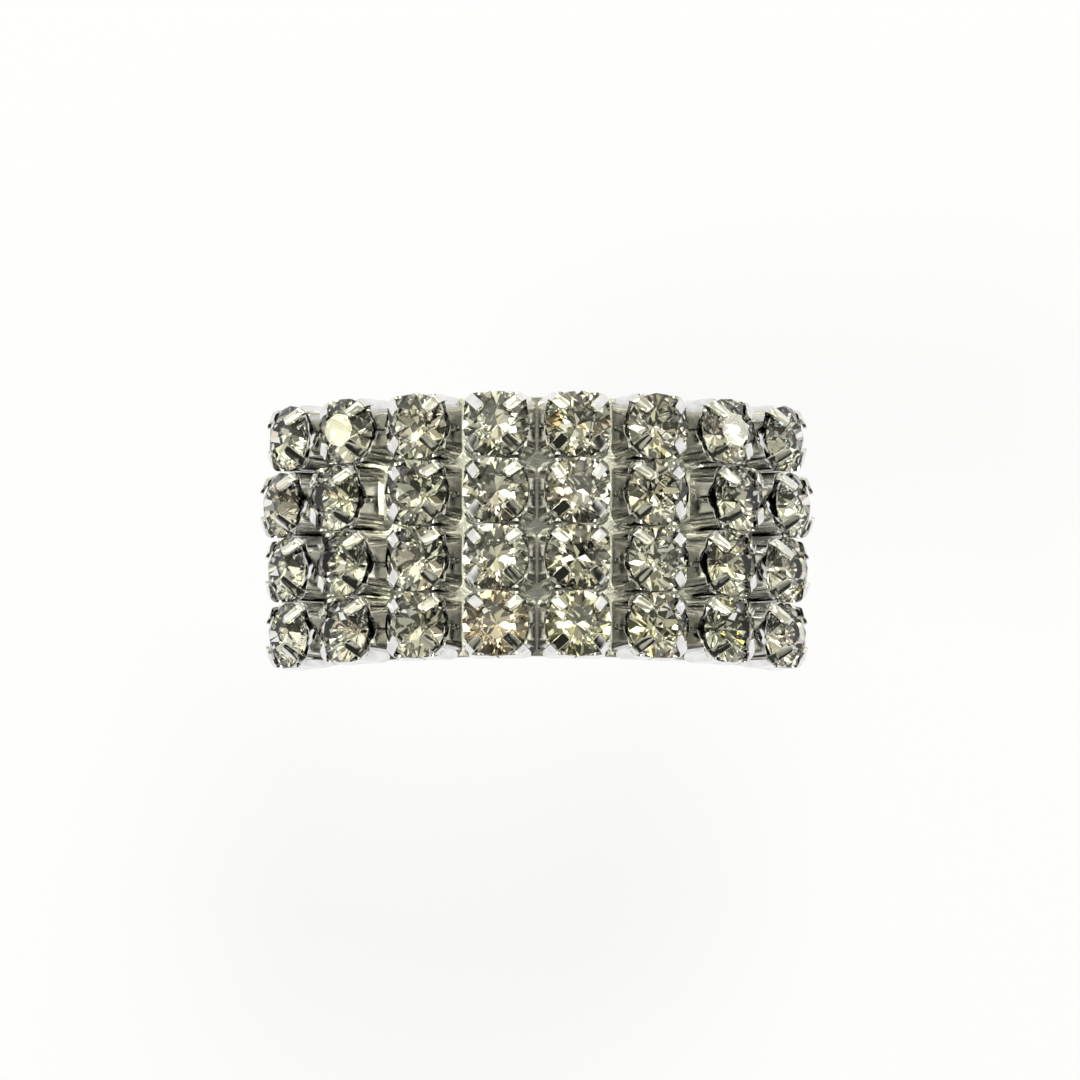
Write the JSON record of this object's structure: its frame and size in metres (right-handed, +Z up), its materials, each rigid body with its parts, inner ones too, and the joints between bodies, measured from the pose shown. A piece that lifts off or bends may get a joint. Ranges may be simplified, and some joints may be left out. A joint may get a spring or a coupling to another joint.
{
  "type": "hair clip",
  "caption": "Arched hair clip set with rows of round faceted crystals in silver claw cups, with a pinch-release barrette clasp under the arch.",
  "frame": {"origin": "on the table, below the middle of the arch: the centre of the bounding box's bottom face", "axes": "+X along the arch's chord towards the catch, +Y across the clip towards crystal row 1, +Z up, the way the crystals face"},
  "size_m": [0.0528, 0.025, 0.0194],
  "materials": {
    "crystal": "polished, faceted, clear, with a silvered back",
    "cup_silver": "bright silver plate",
    "back_plate": "silver plate, a little dulled",
    "clasp_steel": "nickel-plated spring steel",
    "pin_steel": "plain steel, peened ends",
    "solder": "dull grey soft solder"
  },
  "bodies": {
    "clip": {"arch_plate": "back_plate", "cups_column_1": "cup_silver", "cups_column_2": "cup_silver", "cups_column_3": "cup_silver", "cups_column_4": "cup_silver", "cups_column_5": "cup_silver", "cups_column_6": "cup_silver", "cups_column_7": "cup_silver", "cups_column_8": "cup_silver", "crystal_column_1_row_1": "crystal", "crystal_column_1_row_2": "crystal", "crystal_column_1_row_3": "crystal", "crystal_column_1_row_4": "crystal", "crystal_column_2_row_1": "crystal", "crystal_column_2_row_2": "crystal", "crystal_column_2_row_3": "crystal", "crystal_column_2_row_4": "crystal", "crystal_column_3_row_1": "crystal", "crystal_column_3_row_2": "crystal", "crystal_column_3_row_3": "crystal", "crystal_column_3_row_4": "crystal", "crystal_column_4_row_1": "crystal", "crystal_column_4_row_2": "crystal", "crystal_column_4_row_3": "crystal", "crystal_column_4_row_4": "crystal", "crystal_column_5_row_1": "crystal", "crystal_column_5_row_2": "crystal", "crystal_column_5_row_3": "crystal", "crystal_column_5_row_4": "crystal", "crystal_column_6_row_1": "crystal", "crystal_column_6_row_2": "crystal", "crystal_column_6_row_3": "crystal", "crystal_column_6_row_4": "crystal", "crystal_column_7_row_1": "crystal", "crystal_column_7_row_2": "crystal", "crystal_column_7_row_3": "crystal", "crystal_column_7_row_4": "crystal", "crystal_column_8_row_1": "crystal", "crystal_column_8_row_2": "crystal", "crystal_column_8_row_3": "crystal", "crystal_column_8_row_4": "crystal", "solder_pads": "solder", "clasp_strip": "clasp_steel", "hinge_pin": "pin_steel", "catch_bracket": "clasp_steel", "catch_rivet": "pin_steel"},
    "arm": {"clasp_arm": "clasp_steel"},
    "tab_upper": {"pinch_tab_upper": "clasp_steel"},
    "tab_lower": {"pinch_tab_lower": "clasp_steel"}
  },
  "joints": [
    {"name": "arm_swing", "type": "hinge", "parent": "clip", "child": "arm", "pos_m": [-0.01752, 0, 0.00298], "axis": [0, 1, 0], "range_deg": [0, 110]},
    {"name": "pinch_tab_upper_flex", "type": "hinge", "parent": "clip", "child": "tab_upper", "pos_m": [0.01636, 0.0014, 0.00498], "axis": [-1, 0, 0], "range_deg": [0, 14], "stiffness_Nm_per_rad": 0.0001},
    {"name": "pinch_tab_lower_flex", "type": "hinge", "parent": "clip", "child": "tab_lower", "pos_m": [0.01636, -0.0014, 0.00498], "axis": [1, 0, 0], "range_deg": [0, 14]}
  ],
  "couplings": [
    {"joint": "pinch_tab_lower_flex", "follows": "pinch_tab_upper_flex", "ratio": 1}
  ]
}
